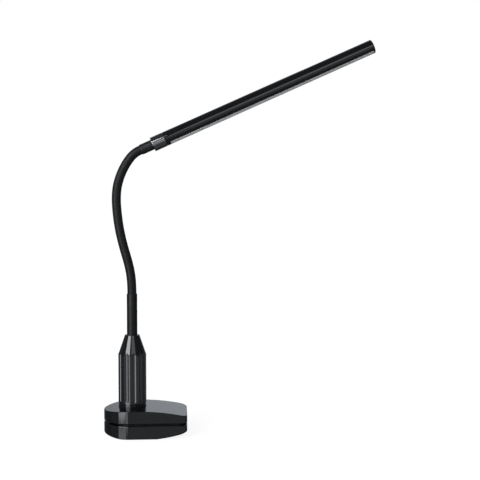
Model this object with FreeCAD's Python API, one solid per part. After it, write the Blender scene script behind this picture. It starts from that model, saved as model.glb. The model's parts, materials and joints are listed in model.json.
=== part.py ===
import FreeCAD, Part
import math
import os

# Piano lamp: two jaws on a screw clamp, a fluted grip that drives the upper jaw along the
# column, a gooseneck of ball-ended links, and a slim tubular light head with a touch ring.
# Frame: millimetres, origin on the column axis at the foot plane, +X towards the head,
# +Y to the rear, +Z up.

# Clearances, and how far a cutting shape runs past the face that it opens
RUN = 0.3
FIT = 0.1
CLOSE_FIT = 0.05
OVERRUN = 1.0

# Lengths and turns in degrees smaller than these count as none
TINY = 1e-3
TINY_TURN = 0.01

# Jaws: crowned shoes, round about the column and square at the front
JAW_RADIUS = 38.0
JAW_REACH = 73.2
JAW_CORNER_R = 11.0
LOWER_JAW_T = 17.5
UPPER_JAW_T = 17.0
JAW_GAP = 2.7
JAW_EDGE_R = 0.8
LOWER_CROWN_X = 9.0
LOWER_CROWN_R = 220.0
FOOT_HALF = 24.0
UPPER_CROWN_X = 6.0
UPPER_CROWN_R = 300.0

# Rubber pads let into the facing sides of the jaws
PAD_INSET = 5.0
PAD_REAR = -24.0
PAD_REAR_R = 24.0
PAD_FRONT_R = 7.0
PAD_RECESS = 1.0
PAD_BORE_R = 8.1

# Column tube: a steel stem with a keyway, shouldered into the lower jaw
STEM_R = 7.0
STEM_BORE_R = 3.0
STEM_BEVEL = 0.7
STEM_SEAT = 3.0
STEM_WEB_T = 3.0
SPIGOT_R = 5.0
SPIGOT_END = 0.7
KEYWAY_W = 2.4
KEYWAY_DEPTH = 1.2
KEY_BITE = 2.0
WASHER_R = 11.0
WASHER_T = 1.0
NUT_FLATS = 16.0
NUT_T = 4.0
NUT_CHAMFER = 1.2

# Pocket and cover under the lower jaw
POCKET_R = 13.0
COVER_T = 1.8
COVER_X = 9.0
COVER_HALF_X = 23.5
COVER_HALF_Y = 21.0
COVER_CORNER_R = 6.0
COVER_SCREW_X = 16.5
COVER_SCREW_Y = 16.5

# Countersunk screws
SCREW_R = 1.25
SCREW_HEAD_R = 2.6
SCREW_HEAD_T = 1.4
SCREW_SINK = 0.3
SCREW_HOLE_FIT = 0.15
COVER_SCREW_LEN = 8.0
PLATE_SCREW_LEN = 8.0

# Cable bush in the rear wall of the lower jaw, and the cable inside the column
BUSH_Z = 6.5
BUSH_BORE_R = 2.3
BUSH_BARREL_R = 3.5
BUSH_BARREL_LEN = 6.5
BUSH_FLANGE_R = 5.5
BUSH_FLANGE_T = 1.5
BUSH_FLANGE_TAPER = 1.0
CABLE_R = 1.3
CABLE_BEND_Y = 16.0
CABLE_DROP_Y = 9.0
CABLE_FLOOR_GAP = 0.5

# The share of the shorter run that the round of a cable's corner may take
CORNER_SHARE = 0.45

# Upper jaw: keyed guide plate, clip pocket and thrust seat
PLATE_R = 19.0
PLATE_T = 2.2
PLATE_SCREW_RING_R = 16.5
PLATE_SCREWS = 3
CLIP_POCKET_R = 14.0
CLIP_POCKET_T = 3.8
SEAT_DEPTH = 1.7
RING_R = 18.5
RING_T = 5.0
RING_EDGE = 0.5

# Grip: spigot, fluted sleeve, cone and threaded insert
GRIP_R = 18.7
GRIP_LEN = 66.4
GRIP_EDGE = 0.4
GRIP_NECK_R = 17.3
GRIP_NECK_T = 1.0
GRIP_INNER_R = 15.0
GRIP_HUB_T = 21.2
GRIP_SPIGOT_R = 10.0
GRIP_SPIGOT_GAP = 0.6
FLUTES = 12
FLUTE_PHASE = -111.0
FLUTE_W = 5.6
FLUTE_DEPTH = 1.25
FLUTE_LOW = 2.2
INSERT_R = 10.0
INSERT_LEN = 14.0
INSERT_LIFT = 5.2
THREAD_CLEAR = 0.1
CLIP_R = 12.5
CLIP_T = 1.0
CLIP_GROOVE = 1.0
CLIP_MOUTH = 9.0
CLIP_PLAY = 0.2
CONE_LEN = 25.3
CONE_BASE_R = 18.3
CONE_TOP_R = 9.9
CONE_WALL = 2.4
CONE_LIP = 0.7
CONE_SPIGOT = 6.0
CONE_SPIGOT_WALL = 2.0
CONE_FLOOR = 2.0

# Clamp travel and what is left of the stem above it
TRAVEL = 52.0
STEM_SPARE = 3.3

# Gooseneck: every value of the list is the turn, in degrees, of one link of LINK_LEN;
# positive turns lean towards the head
NECK_R = 6.1
NECK_BORE_R = 2.0
NECK_TAIL = 16.0
LINK_LEN = 17.01
LINK_TURNS = [-4.1, -7.9, -4.5, 2.0, 3.7, 3.9, 3.0, 7.7, 12.7, 10.0, 11.3, 28.0]
BALL_R = 4.9
BALL_GAP = 1.2
CUP_SHORT = 0.2

# Light head, along its own axis from the neck end
SLEEVE_LEN = 18.3
SLEEVE_R = 6.9
SLEEVE_TAPER = 0.4
SLEEVE_TAPER_LEN = 0.8
HEAD_LEN = 324.3
HEAD_R = 9.6
HEAD_WALL = 1.1
TOUCH_R = 9.7
TOUCH_LEN = 17.5
TOUCH_WALL = 1.1
TOUCH_GAP = 0.3
TOUCH_BEVEL = 0.5
TOUCH_FAR_BEVEL = 0.3
COLLAR_LEN = 5.4
SOCKET_DEPTH = 12.0
SOCKET_TONGUE = 10.0
SOCKET_BORE_R = 2.5
GRUB_R = 1.5
GRUB_AT = 6.5
WEB_OFF = 2.4
WEB_T = 1.2
SLOT_HALF = 47.5
DIFFUSER_T = 1.2
DIFFUSER_GAP = 0.15
CAP_T = 2.7
CAP_EDGE_R = 1.1
CAP_PLUG = 8.0
LED_BOARD_W = 12.0
LED_BOARD_T = 1.2
LED_BOARD_END = 5.0
LED_COUNT = 24
LED_L = 3.5
LED_W = 2.8
LED_T = 0.8
TOUCH_BOARD_L = 40.0
TOUCH_BOARD_W = 13.0
TOUCH_BOARD_T = 1.0
TOUCH_BOARD_GAP = 3.0
CONTACT_W = 3.0
CONTACT_T = 0.3
CONTACT_AT = 15.0
WIRE_R = 0.8
WIRE_AT = 6.0

# Parts on the touch board: place along it, height, width and length of each
TOUCH_PARTS = [(8.0, 2.0, 5.0, 4.0), (18.0, 1.6, 5.0, 5.0), (29.0, 3.4, 7.0, 7.0)]

# Levels of the column, from the foot upwards
UPPER_JAW_Z = LOWER_JAW_T + JAW_GAP
UPPER_JAW_TOP = UPPER_JAW_Z + UPPER_JAW_T
STEM_SHOULDER_Z = LOWER_JAW_T - STEM_SEAT
POCKET_TOP_Z = STEM_SHOULDER_Z - STEM_WEB_T
WASHER_Z = POCKET_TOP_Z - WASHER_T
NUT_Z = WASHER_Z - NUT_T
STEM_END_Z = NUT_Z - SPIGOT_END
PLATE_Z = UPPER_JAW_Z + PAD_RECESS
PLATE_TOP = PLATE_Z + PLATE_T
CLIP_POCKET_TOP = PLATE_TOP + CLIP_POCKET_T
SEAT_Z = UPPER_JAW_TOP - SEAT_DEPTH
RING_TOP = SEAT_Z + RING_T
GRIP_Z = RING_TOP + RUN
GRIP_RIM_Z = GRIP_Z + GRIP_NECK_T
GRIP_TOP = GRIP_RIM_Z + GRIP_LEN
CONE_TOP = GRIP_TOP + CONE_LEN
STEM_TOP = CONE_TOP + TRAVEL + STEM_SPARE
INSERT_Z = GRIP_Z + INSERT_LIFT
PAD_PROUD = (JAW_GAP - RUN) / 2.0
STEM_HOLE_R = STEM_R + RUN
CUP_R = BALL_R + RUN


def vec(x, y, z):
    return FreeCAD.Vector(x, y, z)


def rod(radius, low, high, x=0.0, y=0.0):
    return Part.makeCylinder(radius, high - low, vec(x, y, low))


def rod_along_y(radius, low, high, x, z):
    return Part.makeCylinder(radius, high - low, vec(x, low, z), vec(0, 1, 0))


def ring(outer, inner, low, high):
    return rod(outer, low, high).cut(rod(inner, low - OVERRUN, high + OVERRUN))


def block(x_low, x_high, y_low, y_high, z_low, z_high):
    size = (x_high - x_low, y_high - y_low, z_high - z_low)
    return Part.makeBox(size[0], size[1], size[2], vec(x_low, y_low, z_low))


def polar(radius, degrees):
    return radius * math.cos(math.radians(degrees)), radius * math.sin(math.radians(degrees))


def turned(profile):
    """A solid of revolution about Z from (radius, height) points."""
    points = [vec(radius, 0, height) for radius, height in profile]
    face = Part.Face(Part.makePolygon(points + [points[0]]))
    return face.revolve(vec(0, 0, 0), vec(0, 0, 1), 360)


def shoe(half_width, rear, front, rear_r, front_r, low, high):
    """A prism with straight sides along X, one radius at the rear end and one at the front."""
    corners = [(front, -half_width, front_r, -90), (front, half_width, front_r, 0),
               (rear, half_width, rear_r, 90), (rear, -half_width, rear_r, 180)]
    edges = []
    ends = []
    for x, y, radius, start in corners:
        centre_x = x - math.copysign(radius, x - rear - TINY)
        centre_y = y - math.copysign(radius, y)
        arc = [polar(radius, start + step) for step in (0, 45, 90)]
        points = [vec(centre_x + dx, centre_y + dy, low) for dx, dy in arc]
        ends.append((points[0], points[2]))
        edges.append(Part.Arc(*points).toShape())
    for index, (first, last) in enumerate(ends):
        following = ends[(index + 1) % len(ends)][0]
        if last.distanceToPoint(following) > TINY:
            edges.append(Part.makeLine(last, following))
    outline = Part.Wire(Part.__sortEdges__(edges))
    return Part.Face(outline).extrude(vec(0, 0, high - low))


def rounded_rims(solid, radius):
    """Rounds the rims at the top and bottom of a jaw, and leaves its upright edges as they are."""
    chosen = []
    for edge in solid.Edges:
        box = edge.BoundBox
        upright = box.XLength + box.YLength < TINY
        foot_line = box.XLength < TINY and box.XMin < JAW_REACH - TINY
        if not upright and not foot_line:
            chosen.append(edge)
    return solid.makeFillet(radius, chosen)


def countersunk(length, x, y, face_z):
    """A countersunk screw, sunk a little under face_z, whose shank points up."""
    head_z = face_z + SCREW_SINK
    head = Part.makeCone(SCREW_HEAD_R, SCREW_R, SCREW_HEAD_T, vec(x, y, head_z))
    shank = rod(SCREW_R, head_z + SCREW_HEAD_T, head_z + length, x, y)
    return head.fuse(shank)


def screw_hole(length, x, y, face_z):
    """The countersunk hole that such a screw sits in."""
    head_z = face_z + SCREW_SINK
    head_r = SCREW_HEAD_R + SCREW_HOLE_FIT
    shank_r = SCREW_R + SCREW_HOLE_FIT
    head = Part.makeCone(head_r, shank_r, SCREW_HEAD_T, vec(x, y, head_z))
    mouth = rod(head_r, face_z - OVERRUN, head_z, x, y)
    return head.fuse([mouth, rod(shank_r, head_z, head_z + length + RUN, x, y)])


def cover_screw_places():
    return [(COVER_X + sx * COVER_SCREW_X, sy * COVER_SCREW_Y) for sx in (-1, 1) for sy in (-1, 1)]


def plate_screw_places():
    step = 360.0 / PLATE_SCREWS
    return [polar(PLATE_SCREW_RING_R, 30.0 + step * index) for index in range(PLATE_SCREWS)]


def jaw_block(low, high):
    return shoe(JAW_RADIUS, -JAW_RADIUS, JAW_REACH, JAW_RADIUS, JAW_CORNER_R, low, high)


def pad_block(low, high, clearance=0.0):
    return shoe(JAW_RADIUS - PAD_INSET + clearance, PAD_REAR - clearance,
                JAW_REACH - PAD_INSET + clearance, PAD_REAR_R + clearance,
                PAD_FRONT_R + clearance, low, high)


def cover_block(low, high, clearance=0.0):
    radius = COVER_CORNER_R + clearance
    return shoe(COVER_HALF_Y + clearance, COVER_X - COVER_HALF_X - clearance,
                COVER_X + COVER_HALF_X + clearance, radius, radius, low, high)


def lower_crown():
    """The round bar whose underside crowns the foot, and which leaves it flat in the middle."""
    centre_z = math.sqrt(LOWER_CROWN_R ** 2 - FOOT_HALF ** 2)
    return rod_along_y(LOWER_CROWN_R, -2 * JAW_RADIUS, 2 * JAW_RADIUS, LOWER_CROWN_X, centre_z)


def upper_crown():
    centre_z = UPPER_JAW_TOP - UPPER_CROWN_R
    return rod_along_y(UPPER_CROWN_R, -2 * JAW_RADIUS, 2 * JAW_RADIUS, UPPER_CROWN_X, centre_z)


def lower_jaw():
    solid = jaw_block(0.0, LOWER_JAW_T).common(lower_crown())
    solid = rounded_rims(solid, JAW_EDGE_R)
    cuts = [
        pad_block(LOWER_JAW_T - PAD_RECESS, LOWER_JAW_T + OVERRUN, FIT),
        rod(STEM_R + FIT, STEM_SHOULDER_Z, LOWER_JAW_T + OVERRUN),
        rod(SPIGOT_R + FIT, POCKET_TOP_Z - OVERRUN, STEM_SHOULDER_Z + OVERRUN),
        rod(POCKET_R, -OVERRUN, POCKET_TOP_Z),
        cover_block(-OVERRUN, COVER_T, FIT),
        rod_along_y(BUSH_BARREL_R + FIT, 0.0, JAW_RADIUS + OVERRUN, 0.0, BUSH_Z),
        block(-KEYWAY_W / 2, KEYWAY_W / 2, 0.0, STEM_R + KEY_BITE + FIT, STEM_SHOULDER_Z, LOWER_JAW_T),
    ]
    for x, y in cover_screw_places():
        cuts.append(screw_hole(COVER_SCREW_LEN, x, y, 0.0))
    return solid.cut(cuts)


def lower_jaw_pad():
    low = LOWER_JAW_T - PAD_RECESS
    high = LOWER_JAW_T + PAD_PROUD
    return pad_block(low, high).cut(rod(PAD_BORE_R, low - OVERRUN, high + OVERRUN))


def bottom_cover():
    solid = cover_block(0.0, COVER_T)
    return solid.cut([screw_hole(COVER_SCREW_LEN, x, y, 0.0) for x, y in cover_screw_places()])


def bottom_cover_screws():
    return Part.makeCompound([countersunk(COVER_SCREW_LEN, x, y, 0.0) for x, y in cover_screw_places()])


def stem_tube():
    solid = turned([
        (STEM_BORE_R, STEM_END_Z), (SPIGOT_R, STEM_END_Z), (SPIGOT_R, STEM_SHOULDER_Z),
        (STEM_R, STEM_SHOULDER_Z), (STEM_R, STEM_TOP - STEM_BEVEL), (STEM_R - STEM_BEVEL, STEM_TOP),
        (NECK_R + CLOSE_FIT, STEM_TOP), (NECK_R + CLOSE_FIT, STEM_TOP - NECK_TAIL),
        (STEM_BORE_R, STEM_TOP - NECK_TAIL),
    ])
    keyway_top = PLATE_TOP + TRAVEL + RUN
    keyway = block(-KEYWAY_W / 2, KEYWAY_W / 2, STEM_R - KEYWAY_DEPTH, STEM_R + OVERRUN,
                   STEM_SHOULDER_Z, keyway_top)
    return solid.cut(keyway)


def stem_key():
    half = KEYWAY_W / 2 - FIT
    return block(-half, half, STEM_R - KEYWAY_DEPTH + FIT, STEM_R + KEY_BITE,
                 STEM_SHOULDER_Z, LOWER_JAW_T - PAD_RECESS)


def stem_washer():
    return ring(WASHER_R, SPIGOT_R + FIT, WASHER_Z, POCKET_TOP_Z)


def stem_nut():
    across = NUT_FLATS / math.sqrt(3.0)
    points = [vec(*polar(across, 60 * index), NUT_Z) for index in range(7)]
    prism = Part.Face(Part.makePolygon(points)).extrude(vec(0, 0, NUT_T))
    dome = turned([(0, NUT_Z), (across - NUT_CHAMFER, NUT_Z), (across, NUT_Z + NUT_CHAMFER / 2),
                   (across, WASHER_Z), (0, WASHER_Z)])
    return prism.common(dome).cut(rod(SPIGOT_R + CLOSE_FIT, NUT_Z - OVERRUN, WASHER_Z + OVERRUN))


def cable_bush():
    wall = JAW_RADIUS
    barrel = rod_along_y(BUSH_BARREL_R, wall - BUSH_BARREL_LEN, wall, 0.0, BUSH_Z)
    flange = Part.makeCone(BUSH_FLANGE_R, BUSH_FLANGE_R - BUSH_FLANGE_TAPER, BUSH_FLANGE_T,
                           vec(0, wall, BUSH_Z), vec(0, 1, 0))
    bore_low = wall - BUSH_BARREL_LEN - OVERRUN
    bore = rod_along_y(BUSH_BORE_R, bore_low, wall + BUSH_FLANGE_T + OVERRUN, 0.0, BUSH_Z)
    return barrel.fuse(flange).cut(bore)


def routed(points, radius):
    """A round bar along straight runs joined by tangent arcs, each as large as its runs allow."""
    edges = []
    start = points[0]
    for before, corner, after in zip(points, points[1:], points[2:]):
        run_in = corner.sub(before)
        run_out = after.sub(corner)
        half_turn = run_in.getAngle(run_out) / 2.0
        reach = CORNER_SHARE * min(run_in.Length, run_out.Length)
        bend = reach / math.tan(half_turn)
        print("bend radius %.2f" % bend)
        inward = run_in.normalize()
        onward = run_out.normalize()
        arc_start = corner.sub(inward * reach)
        arc_end = corner.add(onward * reach)
        middle = onward.sub(inward).normalize() * (bend / math.cos(half_turn) - bend)
        edges.append(Part.makeLine(start, arc_start))
        edges.append(Part.Arc(arc_start, corner.add(middle), arc_end).toShape())
        start = arc_end
    edges.append(Part.makeLine(start, points[-1]))
    path = Part.Wire(edges)
    heading = points[1].sub(points[0])
    section = Part.Wire(Part.makeCircle(radius, points[0], heading))
    solid = path.makePipeShell([section], True, False)
    ideal = math.pi * radius ** 2 * path.Length
    print("run of radius %.2f, volume ratio %.4f" % (radius, solid.Volume / ideal))
    return solid


def stem_cable():
    low = COVER_T + CABLE_FLOOR_GAP + CABLE_R
    inner_end = JAW_RADIUS - BUSH_BARREL_LEN - RUN
    top = STEM_TOP - NECK_TAIL - RUN
    return routed([vec(0, inner_end, BUSH_Z), vec(0, CABLE_BEND_Y, BUSH_Z), vec(0, CABLE_DROP_Y, low),
                   vec(0, 0, low), vec(0, 0, top)], CABLE_R)


def upper_jaw():
    solid = jaw_block(UPPER_JAW_Z, UPPER_JAW_TOP).common(upper_crown())
    solid = rounded_rims(solid, JAW_EDGE_R)
    cuts = [
        pad_block(UPPER_JAW_Z - OVERRUN, PLATE_Z, FIT),
        rod(PLATE_R + FIT, PLATE_Z - OVERRUN, PLATE_TOP),
        rod(CLIP_POCKET_R, PLATE_TOP - OVERRUN, CLIP_POCKET_TOP),
        rod(GRIP_SPIGOT_R + RUN, CLIP_POCKET_TOP - OVERRUN, UPPER_JAW_TOP + OVERRUN),
        rod(RING_R + RUN, SEAT_Z, UPPER_JAW_TOP + OVERRUN),
    ]
    for x, y in plate_screw_places():
        cuts.append(screw_hole(PLATE_SCREW_LEN, x, y, PLATE_Z))
    return solid.cut(cuts)


def upper_jaw_pad():
    low = UPPER_JAW_Z - PAD_PROUD
    return pad_block(low, PLATE_Z).cut(rod(PAD_BORE_R, low - OVERRUN, PLATE_Z + OVERRUN))


def guide_plate():
    disc = ring(PLATE_R, STEM_HOLE_R, PLATE_Z, PLATE_TOP)
    half = KEYWAY_W / 2 - RUN
    tongue = block(-half, half, STEM_R - KEYWAY_DEPTH + RUN, STEM_HOLE_R + OVERRUN, PLATE_Z, PLATE_TOP)
    holes = [screw_hole(PLATE_SCREW_LEN, x, y, PLATE_Z) for x, y in plate_screw_places()]
    return disc.fuse(tongue).cut(holes)


def guide_plate_screws():
    screws = [countersunk(PLATE_SCREW_LEN, x, y, PLATE_Z) for x, y in plate_screw_places()]
    return Part.makeCompound(screws)


def thrust_ring():
    inner = GRIP_SPIGOT_R + RUN
    return turned([(inner, SEAT_Z), (RING_R, SEAT_Z), (RING_R, RING_TOP - RING_EDGE),
                   (RING_R - RING_EDGE, RING_TOP), (inner, RING_TOP)])


def flutes():
    """Ball-ended cutters that leave a round end at the bottom and run out through the cone."""
    radius = (FLUTE_W ** 2 / 4 + FLUTE_DEPTH ** 2) / (2 * FLUTE_DEPTH)
    low = GRIP_RIM_Z + FLUTE_LOW + FLUTE_W / 2
    cutters = []
    for index in range(FLUTES):
        x, y = polar(GRIP_R + radius - FLUTE_DEPTH, FLUTE_PHASE + 360.0 / FLUTES * index)
        cutters.append(rod(radius, low, CONE_TOP, x, y).fuse(Part.makeSphere(radius, vec(x, y, low))))
    return cutters


def grip_sleeve():
    hub_top = GRIP_Z + GRIP_HUB_T
    spigot_low = PLATE_TOP + GRIP_SPIGOT_GAP
    groove_top = CLIP_POCKET_TOP - CLIP_PLAY + CLOSE_FIT
    groove_low = groove_top - CLIP_T - 2 * CLOSE_FIT
    groove_r = GRIP_SPIGOT_R - CLIP_GROOVE
    bore = STEM_HOLE_R
    solid = turned([
        (bore, spigot_low), (GRIP_SPIGOT_R, spigot_low), (GRIP_SPIGOT_R, groove_low),
        (groove_r, groove_low), (groove_r, groove_top), (GRIP_SPIGOT_R, groove_top),
        (GRIP_SPIGOT_R, GRIP_Z), (GRIP_NECK_R, GRIP_Z), (GRIP_NECK_R, GRIP_RIM_Z),
        (GRIP_R - GRIP_EDGE, GRIP_RIM_Z), (GRIP_R, GRIP_RIM_Z + GRIP_EDGE),
        (GRIP_R, GRIP_TOP - GRIP_EDGE), (GRIP_R - GRIP_EDGE, GRIP_TOP),
        (GRIP_INNER_R, GRIP_TOP), (GRIP_INNER_R, hub_top), (INSERT_R + CLOSE_FIT, hub_top),
        (INSERT_R + CLOSE_FIT, INSERT_Z), (bore, INSERT_Z),
    ])
    return solid.cut(flutes())


def thread_insert():
    return ring(INSERT_R, STEM_R + THREAD_CLEAR, INSERT_Z, INSERT_Z + INSERT_LEN)


def retaining_clip():
    high = CLIP_POCKET_TOP - CLIP_PLAY
    solid = ring(CLIP_R, GRIP_SPIGOT_R - CLIP_GROOVE + CLOSE_FIT, high - CLIP_T, high)
    mouth = block(0, 2 * CLIP_R, -CLIP_MOUTH / 2, CLIP_MOUTH / 2, high - CLIP_T - OVERRUN,
                  high + OVERRUN)
    return solid.cut(mouth)


def grip_cone():
    spigot_r = GRIP_INNER_R - CLOSE_FIT
    slope = (CONE_BASE_R - CONE_TOP_R) / (CONE_LEN - CONE_LIP)
    roof = CONE_TOP - CONE_WALL
    inner_low = spigot_r - CONE_SPIGOT_WALL
    inner_high = CONE_TOP_R + slope * CONE_WALL - CONE_WALL
    solid = turned([
        (inner_low, GRIP_TOP - CONE_SPIGOT), (spigot_r, GRIP_TOP - CONE_SPIGOT), (spigot_r, GRIP_TOP),
        (CONE_BASE_R, GRIP_TOP), (CONE_TOP_R, CONE_TOP - CONE_LIP), (CONE_TOP_R - CONE_LIP, CONE_TOP),
        (STEM_HOLE_R, CONE_TOP), (STEM_HOLE_R, roof), (inner_high, roof), (inner_low, GRIP_TOP + CONE_FLOOR),
    ])
    return solid.cut(flutes())


def path_at(s, turn):
    """Place and lean on a link's centreline, s along it, in the link's own frame."""
    lean = turn * s / LINK_LEN
    if abs(turn) < TINY_TURN:
        return 0.0, s, lean
    bend = LINK_LEN / math.radians(turn)
    return bend * (1 - math.cos(math.radians(lean))), bend * math.sin(math.radians(lean)), lean


def bent_bar(radius, turn, s_low, s_high):
    x, z, lean = path_at(s_low, turn)
    along = vec(math.sin(math.radians(lean)), 0, math.cos(math.radians(lean)))
    disc = Part.Face(Part.Wire(Part.makeCircle(radius, vec(x, 0, z), along)))
    if abs(turn) < TINY_TURN:
        return disc.extrude(along * (s_high - s_low))
    bend = LINK_LEN / math.radians(turn)
    about = vec(0, math.copysign(1, turn), 0)
    return disc.revolve(vec(bend, 0, 0), about, abs(turn) * (s_high - s_low) / LINK_LEN)


def neck_places():
    """The hinge points: (x, z, lean in degrees) at the end of every link, the stem's top first."""
    places = [(0.0, STEM_TOP, 0.0)]
    for turn in LINK_TURNS:
        x, z, lean = places[-1]
        dx, dz, _ = path_at(LINK_LEN, turn)
        cos_lean = math.cos(math.radians(lean))
        sin_lean = math.sin(math.radians(lean))
        places.append((x + dx * cos_lean + dz * sin_lean, z + dz * cos_lean - dx * sin_lean, lean + turn))
    return places


def placed(solid, place):
    """Moves a solid from a link's own frame, with its axis along Z, to its place on the neck."""
    x, z, lean = place
    solid.Placement = FreeCAD.Placement(vec(x, 0, z), FreeCAD.Rotation(vec(0, 1, 0), lean))
    return solid


def cup_and_bore(turn):
    x, z, _ = path_at(LINK_LEN, turn)
    return [Part.makeSphere(CUP_R, vec(x, 0, z)), bent_bar(NECK_BORE_R, turn, 0.0, LINK_LEN)]


def neck_root():
    turn = LINK_TURNS[0]
    tail = rod(NECK_R, -NECK_TAIL, 0.0)
    bar = bent_bar(NECK_R, turn, 0.0, LINK_LEN - CUP_SHORT)
    bore = rod(NECK_BORE_R, -NECK_TAIL - OVERRUN, 0.0)
    return tail.fuse(bar).cut(cup_and_bore(turn) + [bore])


def neck_link(index):
    turn = LINK_TURNS[index]
    bar = bent_bar(NECK_R, turn, BALL_GAP, LINK_LEN - CUP_SHORT)
    bore = rod(NECK_BORE_R, -BALL_R - OVERRUN, 0.0)
    return bar.fuse(Part.makeSphere(BALL_R)).cut(cup_and_bore(turn) + [bore])


def neck_tip():
    bar = rod(NECK_R, BALL_GAP, SLEEVE_LEN + SOCKET_DEPTH)
    bore = rod(NECK_BORE_R, -BALL_R - OVERRUN, SLEEVE_LEN + SOCKET_DEPTH + OVERRUN)
    return bar.fuse(Part.makeSphere(BALL_R)).cut(bore)


def neck_top_sleeve():
    inner = NECK_R + CLOSE_FIT
    return turned([(inner, BALL_GAP), (SLEEVE_R - SLEEVE_TAPER, BALL_GAP),
                   (SLEEVE_R, BALL_GAP + SLEEVE_TAPER_LEN), (SLEEVE_R, SLEEVE_LEN), (inner, SLEEVE_LEN)])


# The head's pieces are made along Z from the neck end, with the lit side towards +X
TUBE_Z = TOUCH_LEN + TOUCH_GAP + COLLAR_LEN
TUBE_END = HEAD_LEN - CAP_T
TUBE_INNER_R = HEAD_R - HEAD_WALL
WEB_FAR = WEB_OFF + WEB_T
BOARD_TOP = WEB_OFF - TOUCH_BOARD_T


def sector(inner, outer, half_angle, low, high):
    """A stretch of a round shell, centred on +X."""
    arcs = []
    for radius, signs in ((outer, (-1, 0, 1)), (inner, (1, 0, -1))):
        arcs.append([vec(*polar(radius, sign * half_angle), low) for sign in signs])
    edges = [Part.Arc(*arcs[0]).toShape(), Part.makeLine(arcs[0][2], arcs[1][0]),
             Part.Arc(*arcs[1]).toShape(), Part.makeLine(arcs[1][2], arcs[0][0])]
    return Part.Face(Part.Wire(edges)).extrude(vec(0, 0, high - low))


def d_plug(radius, low, high):
    """The part of a round bar that fits in the tube on the dark side of the web."""
    return rod(radius, low, high).common(block(-2 * radius, WEB_OFF - FIT, -radius, radius, low, high))


def touch_ring():
    return turned([(TOUCH_R - TOUCH_WALL, 0), (TOUCH_R - TOUCH_BEVEL, 0), (TOUCH_R, TOUCH_BEVEL),
                   (TOUCH_R, TOUCH_LEN - TOUCH_FAR_BEVEL), (TOUCH_R - TOUCH_FAR_BEVEL, TOUCH_LEN),
                   (TOUCH_R - TOUCH_WALL, TOUCH_LEN)])


def head_collar():
    return ring(HEAD_R, TOUCH_R - TOUCH_WALL, TOUCH_LEN + TOUCH_GAP, TUBE_Z)


def neck_socket():
    radius = TOUCH_R - TOUCH_WALL - CLOSE_FIT
    body = rod(radius, 0.0, TUBE_Z)
    tongue = d_plug(TUBE_INNER_R - FIT, TUBE_Z, TUBE_Z + SOCKET_TONGUE)
    slot_floor = radius - 3 * CONTACT_T - FIT
    cuts = [
        rod(NECK_R + CLOSE_FIT, -OVERRUN, SOCKET_DEPTH),
        rod(SOCKET_BORE_R, 0.0, TUBE_Z + SOCKET_TONGUE + OVERRUN),
        Part.makeCylinder(GRUB_R + CLOSE_FIT, radius + OVERRUN, vec(0, 0, GRUB_AT), vec(1, 0, 0)),
        block(-radius - OVERRUN, -slot_floor, -CONTACT_W / 2 - FIT, CONTACT_W / 2 + FIT,
              SOCKET_DEPTH / 2, TUBE_Z + SOCKET_TONGUE + OVERRUN),
    ]
    return body.fuse(tongue).cut(cuts)


def neck_grub_screw():
    low = NECK_R + CLOSE_FIT
    high = TOUCH_R - TOUCH_WALL - FIT
    return Part.makeCylinder(GRUB_R, high - low, vec(low, 0, GRUB_AT), vec(1, 0, 0))


def head_tube():
    shell = ring(HEAD_R, TUBE_INNER_R, TUBE_Z, TUBE_END)
    web = block(WEB_OFF, WEB_FAR, -HEAD_R, HEAD_R, TUBE_Z, TUBE_END)
    web = web.common(rod(TUBE_INNER_R + HEAD_WALL / 2, TUBE_Z, TUBE_END))
    slot = sector(TUBE_INNER_R - HEAD_WALL, HEAD_R + OVERRUN, SLOT_HALF, TUBE_Z - OVERRUN, TUBE_END + OVERRUN)
    return shell.fuse(web).cut(slot)


def diffuser():
    gap_angle = math.degrees(DIFFUSER_GAP / HEAD_R)
    return sector(HEAD_R - DIFFUSER_T, HEAD_R, SLOT_HALF - gap_angle, TUBE_Z + DIFFUSER_GAP, TUBE_END)


def end_cap():
    disc = rod(HEAD_R, TUBE_END, HEAD_LEN)
    far_rim = [edge for edge in disc.Edges if edge.BoundBox.ZMin > HEAD_LEN - TINY]
    disc = disc.makeFillet(CAP_EDGE_R, far_rim)
    return disc.fuse(d_plug(TUBE_INNER_R - FIT, TUBE_END - CAP_PLUG, TUBE_END))


def led_board():
    return block(WEB_FAR, WEB_FAR + LED_BOARD_T, -LED_BOARD_W / 2, LED_BOARD_W / 2,
                 TUBE_Z + LED_BOARD_END, TUBE_END - LED_BOARD_END)


def led_chips():
    first = TUBE_Z + 2 * LED_BOARD_END
    step = (TUBE_END - TUBE_Z - 4 * LED_BOARD_END) / (LED_COUNT - 1)
    low = WEB_FAR + LED_BOARD_T
    chips = []
    for index in range(LED_COUNT):
        middle = first + step * index
        chips.append(block(low, low + LED_T, -LED_L / 2, LED_L / 2, middle - LED_W / 2, middle + LED_W / 2))
    return Part.makeCompound(chips)


BOARD_Z = TUBE_Z + SOCKET_TONGUE + TOUCH_BOARD_GAP


def touch_board():
    half = TOUCH_BOARD_W / 2
    return block(BOARD_TOP, WEB_OFF, -half, half, BOARD_Z, BOARD_Z + TOUCH_BOARD_L)


def touch_board_parts():
    parts = []
    for at, height, width, length in TOUCH_PARTS:
        low = BOARD_Z + at
        parts.append(block(BOARD_TOP - height, BOARD_TOP, -width / 2, width / 2, low, low + length))
    return Part.makeCompound(parts)


def touch_contact():
    """A spring strip from inside the touch ring to the touch board."""
    radius = TUBE_INNER_R - FIT
    half = CONTACT_W / 2
    leg_z = BOARD_Z + CONTACT_AT
    arm = block(-radius, CONTACT_T - radius, -half, half, SOCKET_DEPTH / 2 + RUN, leg_z)
    leg = block(-radius, BOARD_TOP, -half, half, leg_z - CONTACT_T, leg_z)
    return arm.fuse(leg).common(rod(radius, 0.0, HEAD_LEN))


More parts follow.
